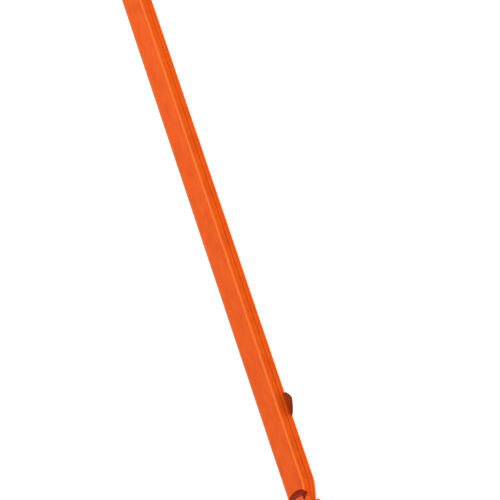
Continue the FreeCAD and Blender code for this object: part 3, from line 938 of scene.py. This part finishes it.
class TOURNIQUET_OT_pull_band(bpy.types.Operator):
    """Pull band: pleated neck out of the plate, and the loop through the rod's slot"""
    bl_idname = "tourniquet.pull_band"
    bl_label = "Pull band"

    def execute(self, context):
        bottom = PLATE_TOP - 1.2 * MM
        top = ROD.z - ROD_R - 0.1 * MM
        rings = []
        steps, around = 26, 48
        for i in range(steps + 1):
            u = i / steps
            z = bottom + (top - bottom) * u
            ease = u * u * (3 - 2 * u)
            wide = (10.0 * (1 - ease) + 4.3 * ease) * MM
            thin = (2.6 * (1 - ease) + 4.0 * ease) * MM
            twist = math.radians(90) * u
            ring = []
            for j in range(around):
                a = 2 * math.pi * j / around
                pleat = 1 + 0.11 * math.sin(7 * a + 5.0 * u) * min(1, 3 * u + 0.3)
                x, y = thin * pleat * math.cos(a), wide * pleat * math.sin(a)
                turn = twist * (1 - u)
                ring.append(Vector((x * math.cos(turn * 0.3) - y * math.sin(turn * 0.3),
                                    x * math.sin(turn * 0.3) + y * math.cos(turn * 0.3), z)))
            rings.append(ring)
        neck = lofted("pull_band_neck", rings, cloth("band"), None,
                      ["band_riser"])
        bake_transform(neck)
        self.loop()
        return {"FINISHED"}

    def loop(self):
        """Band through the slot, turned down round both flanks and gathered below."""
        turn_r = 1.7 * MM
        edge = ROD_R + 0.2 * MM + 0.45 * MM
        right = [Vector((0, ROD.z)), Vector((edge - turn_r, ROD.z))]
        right += arc(Vector((edge - turn_r, ROD.z - turn_r)), turn_r, 90, 0, 6)[1:]
        for a in range(0, 61, 10):
            right.append(Vector((edge * math.cos(math.radians(a + 17)),
                                 ROD.z - edge * math.sin(math.radians(a + 17)))))
        right.append(Vector((1.6 * MM, ROD.z - edge - 0.7 * MM)))
        path = [Vector((-p.x, p.y)) for p in reversed(right[1:])] + right
        path = denser(path, 1.2 * MM)
        half = 12.3 * MM
        rings = []
        total = sum((b - a).length for a, b in zip(path, path[1:]))
        run = 0.0
        across = 10
        for i, p in enumerate(path):
            if i:
                run += (p - path[i - 1]).length
            t = (path[min(i + 1, len(path) - 1)] - path[max(i - 1, 0)]).normalized()
            n = Vector((-t.y, t.x))
            off = abs(run - total / 2)
            gather = min(1.0, max(0.0, (off - 7 * MM) / (total / 2 - 7 * MM)))
            w = half * (1 - 0.62 * gather ** 1.4)
            ring = []
            for side in (1, -1):
                for j in range(across + 1):
                    s = (2 * j / across - 1) * side
                    fold = 0.5 * MM * gather * math.sin(s * side * 9)
                    q = p + n * (0.42 * MM * side * (0.55 if abs(s) == 1 else 1) + fold)
                    ring.append(Vector((-s * w, q.x, q.y)))
            rings.append(ring)
        lofted("pull_band_loop", rings, cloth("band"), "windlass",
               ["windlass_band_loop"])


class TOURNIQUET_OT_hardware(bpy.types.Operator):
    """Finishes of the rod, caps, clip, rivets, plate, guide, buckle and pin"""
    bl_idname = "tourniquet.hardware"
    bl_label = "Hardware"

    def execute(self, context):
        for node in ("stabiliser_plate", "band_guide", "windlass_clip", "buckle_frame"):
            dress(node, nylon())
        dress("windlass_rod", turned_metal("black_anodised_aluminium", "2A2B2E", 0.3, 0.38))
        for node in ("rod_cap_front", "rod_cap_rear"):
            dress(node, rubber())
        dress("buckle_pin", turned_metal("ground_steel", "A9A9AB", 0.25, 0.3))
        dress("clip_rivets", turned_metal("blackened_steel", "6A6A6C", 0.25, 0.4))
        dress("time_strap_catch_patch", moulded("black_loop_pile", "19191B", 0.7, 0.9, 0.8))
        return {"FINISHED"}


class TOURNIQUET_OT_time_strap(bpy.types.Operator):
    """Off-white time strap with its hinge of folded tape and its hook patch"""
    bl_idname = "tourniquet.time_strap"
    bl_label = "Time strap"

    def execute(self, context):
        lo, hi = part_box("time_strap")
        hinge_y, hinge_z = hi.y, 12.4 * MM
        width = hi.x - lo.x
        mid_x = (hi.x + lo.x) / 2
        reach = hinge_y - lo.y
        line = []
        for i in range(31):
            u = i / 30
            drop = (hinge_z - 0.9 * MM) * (0.86 * u + 0.14 * u * u)
            line.append(Vector((reach * u * 0.998, hinge_z + 0.55 * MM - drop)))
        mesh, length = ribbon("time_strap", line, width, 0.9 * MM)
        self.place(mesh, mid_x, hinge_y)
        flap = piece("time_strap_tape", mesh, cloth("time"), "time_flap",
                     ["time_strap"])
        patch_line = offset_line([p for p in line if 36 * MM < p.x < 57 * MM], 0.72 * MM)
        patch, _ = ribbon("time_strap_hook", patch_line, width - 1.6 * MM, 0.5 * MM)
        self.place(patch, mid_x, hinge_y)
        piece("time_strap_hook_tape", patch, cloth("hook"), "time_flap",
              ["time_strap_hook_patch"])
        rows = []
        for p in (6 * MM, 8 * MM):
            z = self.height(line, p)
            rows.append([Vector((mid_x + side * 4 * MM, hinge_y - p, z)) for side in (1, -1)])
        stitched("time_strap_stitches", rows, "time_flap")
        self.root(mid_x, width, hinge_y, hinge_z)
        return {"FINISHED"}

    @staticmethod
    def height(line, x):
        """Height of the tape's top at a distance from its hinge."""
        for a, b in zip(line, line[1:]):
            if a.x <= x <= b.x:
                return a.y + (b.y - a.y) * (x - a.x) / (b.x - a.x) + 0.52 * MM
        return line[-1].y

    @staticmethod
    def place(mesh, mid_x, hinge_y):
        """Turn a strip that runs along +X so that it runs along -Y from the hinge."""
        mesh.transform(Matrix.Translation((mid_x, hinge_y, 0))
                       @ Matrix.Rotation(math.radians(-90), 4, "Z"))

    def root(self, mid_x, width, hinge_y, hinge_z):
        """Tape from the pocket's side up to the hinge, bent round at the hinge."""
        lo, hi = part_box("time_strap_anchor")
        wall = (lo.y + hi.y) / 2 - 0.1 * MM
        line = [Vector((hinge_y - wall, lo.z)), Vector((hinge_y - wall, hinge_z - 1.4 * MM))]
        bend = Vector((hinge_y - wall + 0.75 * MM, hinge_z - 0.4 * MM))
        line += arc(bend, 0.95 * MM, 190, 95, 8)
        line.append(Vector((1.6 * MM, hinge_z + 0.25 * MM)))
        mesh, _ = ribbon("time_strap_root", denser(line, 0.6 * MM), width - 0.2 * MM, 0.8 * MM)
        self.place(mesh, mid_x, hinge_y)
        obj = piece("time_strap_root_tape", mesh, cloth("time"))
        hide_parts("time_strap_anchor")
        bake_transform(obj)


class TOURNIQUET_OT_end_loop(bpy.types.Operator):
    """Webbing loop round the buckle's pin, with its box stitch"""
    bl_idname = "tourniquet.end_loop"
    bl_label = "End loop"

    def execute(self, context):
        lo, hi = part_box("strap_end_loop")
        t = 1.75 * MM
        ring_r = 1.65 * MM + t / 2
        low_leg = 9.35 * MM + t / 2
        top_leg = hi.z - t / 2
        line = [Vector((lo.x, low_leg)), Vector((76 * MM, low_leg)),
                Vector((78.5 * MM, low_leg - 0.8 * MM))]
        line += arc(Vector((PIN.x, PIN.z)), ring_r, -140, 80, 26)
        line += [Vector((PIN.x - 4 * MM, top_leg)), Vector((lo.x, top_leg))]
        mesh, length = ribbon("end_loop", denser(line, 1.5 * MM), hi.y - lo.y, t, 0.0,
                              0.08 * MM)
        loop = piece("strap_end_loop_webbing", mesh, cloth("pocket"), ROOT,
                     ["strap_end_loop"])
        z = hi.z + 0.08 * MM
        x0, x1, half = 64 * MM, 78 * MM, 14 * MM
        box = [(x0, -half), (x1, -half), (x1, half), (x0, half), (x0, -half)]
        rows = [[Vector((x, y, z)) for x, y in box],
                [Vector((x0, -half, z)), Vector((x1, half, z))],
                [Vector((x0, half, z)), Vector((x1, -half, z))]]
        stitched("end_loop_box_stitch", rows, ROOT, ["end_loop_stitching"])
        return {"FINISHED"}


# ---- stage and add-on --------------------------------------------------------------

class TOURNIQUET_OT_stage(bpy.types.Operator):
    """Plain pale floor, soft studio light and the camera"""
    bl_idname = "tourniquet.stage"
    bl_label = "Stage"

    def execute(self, context):
        floor = new_mesh("stage_floor", [(-4, -4, 0), (4, -4, 0), (4, 4, 0), (-4, 4, 0)],
                         [(0, 1, 2, 3)])
        ground = bpy.data.objects.new("stage_floor", floor)
        context.scene.collection.objects.link(ground)
        material, tree, shader = fresh_material("white_paper_floor")
        shader.inputs["Base Color"].default_value = linear("808080")
        shader.inputs["Roughness"].default_value = 0.9
        shader.inputs["Emission Color"].default_value = linear("FFFFFF")
        shader.inputs["Emission Strength"].default_value = 0.95
        floor.materials.append(material)
        world = bpy.data.worlds.new("studio")
        world.use_nodes = True
        back = world.node_tree.nodes["Background"]
        back.inputs["Color"].default_value = (1, 1, 1, 1)
        back.inputs["Strength"].default_value = 0.5
        context.scene.world = world
        context.scene.view_settings.view_transform = "Standard"
        lamps = {"key": ((-0.6, 0.2, 1.2), 1.2, 12.5), "fill": ((-0.5, 1.5, 0.6), 1.2, 3.0)}
        for name, (place, size, power) in lamps.items():
            light = bpy.data.lights.new(name, "AREA")
            light.size = size
            light.energy = power
            lamp = bpy.data.objects.new(name, light)
            lamp.location = place
            aim = Vector((-0.2, 0, 0)) - Vector(place)
            lamp.rotation_mode = "QUATERNION"
            lamp.rotation_quaternion = aim.to_track_quat("-Z", "Y")
            context.scene.collection.objects.link(lamp)
        self.camera(context)
        return {"FINISHED"}

    def camera(self, context):
        """Camera close to the strap's plane, rolled so that the strap runs down the view."""
        azimuth, elevation, roll = (math.radians(a) for a in (17.473, 15.667, -103.98))
        distance = 0.9
        aim = Vector((-0.2097, 0, -0.0123))
        back = Vector((math.sin(azimuth) * math.cos(elevation),
                       math.cos(azimuth) * math.cos(elevation), math.sin(elevation)))
        side = Vector((0, 0, 1)).cross(back).normalized()
        up = back.cross(side)
        right = side * math.cos(roll) + up * math.sin(roll)
        top = up * math.cos(roll) - side * math.sin(roll)
        data = bpy.data.cameras.new("camera")
        data.sensor_width = 36
        data.lens = 3.465 * 36
        camera = bpy.data.objects.new("camera", data)
        turn = Matrix((right, top, back)).transposed()
        camera.matrix_world = Matrix.Translation(aim + back * distance) @ turn.to_4x4()
        context.scene.collection.objects.link(camera)
        context.scene.camera = camera


CLASSES = [TourniquetSizes, TourniquetColours,
           TOURNIQUET_OT_strap, TOURNIQUET_OT_strap_seams, TOURNIQUET_OT_tail_tip,
           TOURNIQUET_OT_opening_tab, TOURNIQUET_OT_pocket, TOURNIQUET_OT_pull_band,
           TOURNIQUET_OT_hardware, TOURNIQUET_OT_time_strap, TOURNIQUET_OT_end_loop,
           TOURNIQUET_OT_stage]


class TOURNIQUET_PT_panel(bpy.types.Panel):
    """Lists the pieces and the sizes that may be changed"""
    bl_idname = "TOURNIQUET_PT_panel"
    bl_label = "Tourniquet"
    bl_space_type = "VIEW_3D"
    bl_region_type = "UI"
    bl_category = "Tourniquet"

    def draw(self, context):
        for group in (context.scene.tourniquet_sizes, context.scene.tourniquet_colours):
            for key in group.bl_rna.properties.keys():
                if key not in ("rna_type", "name"):
                    self.layout.prop(group, key)
        for kind in CLASSES:
            if issubclass(kind, bpy.types.Operator):
                self.layout.operator(kind.bl_idname)


def register():
    for kind in CLASSES + [TOURNIQUET_PT_panel]:
        bpy.utils.register_class(kind)
    bpy.types.Scene.tourniquet_sizes = bpy.props.PointerProperty(type=TourniquetSizes)
    bpy.types.Scene.tourniquet_colours = bpy.props.PointerProperty(type=TourniquetColours)


def unregister():
    del bpy.types.Scene.tourniquet_colours
    del bpy.types.Scene.tourniquet_sizes
    for kind in reversed(CLASSES + [TOURNIQUET_PT_panel]):
        bpy.utils.unregister_class(kind)


def main():
    register()
    for kind in CLASSES:
        if issubclass(kind, bpy.types.Operator):
            group, call = kind.bl_idname.split(".")
            getattr(getattr(bpy.ops, group), call)()


if __name__ == "__main__":
    main()
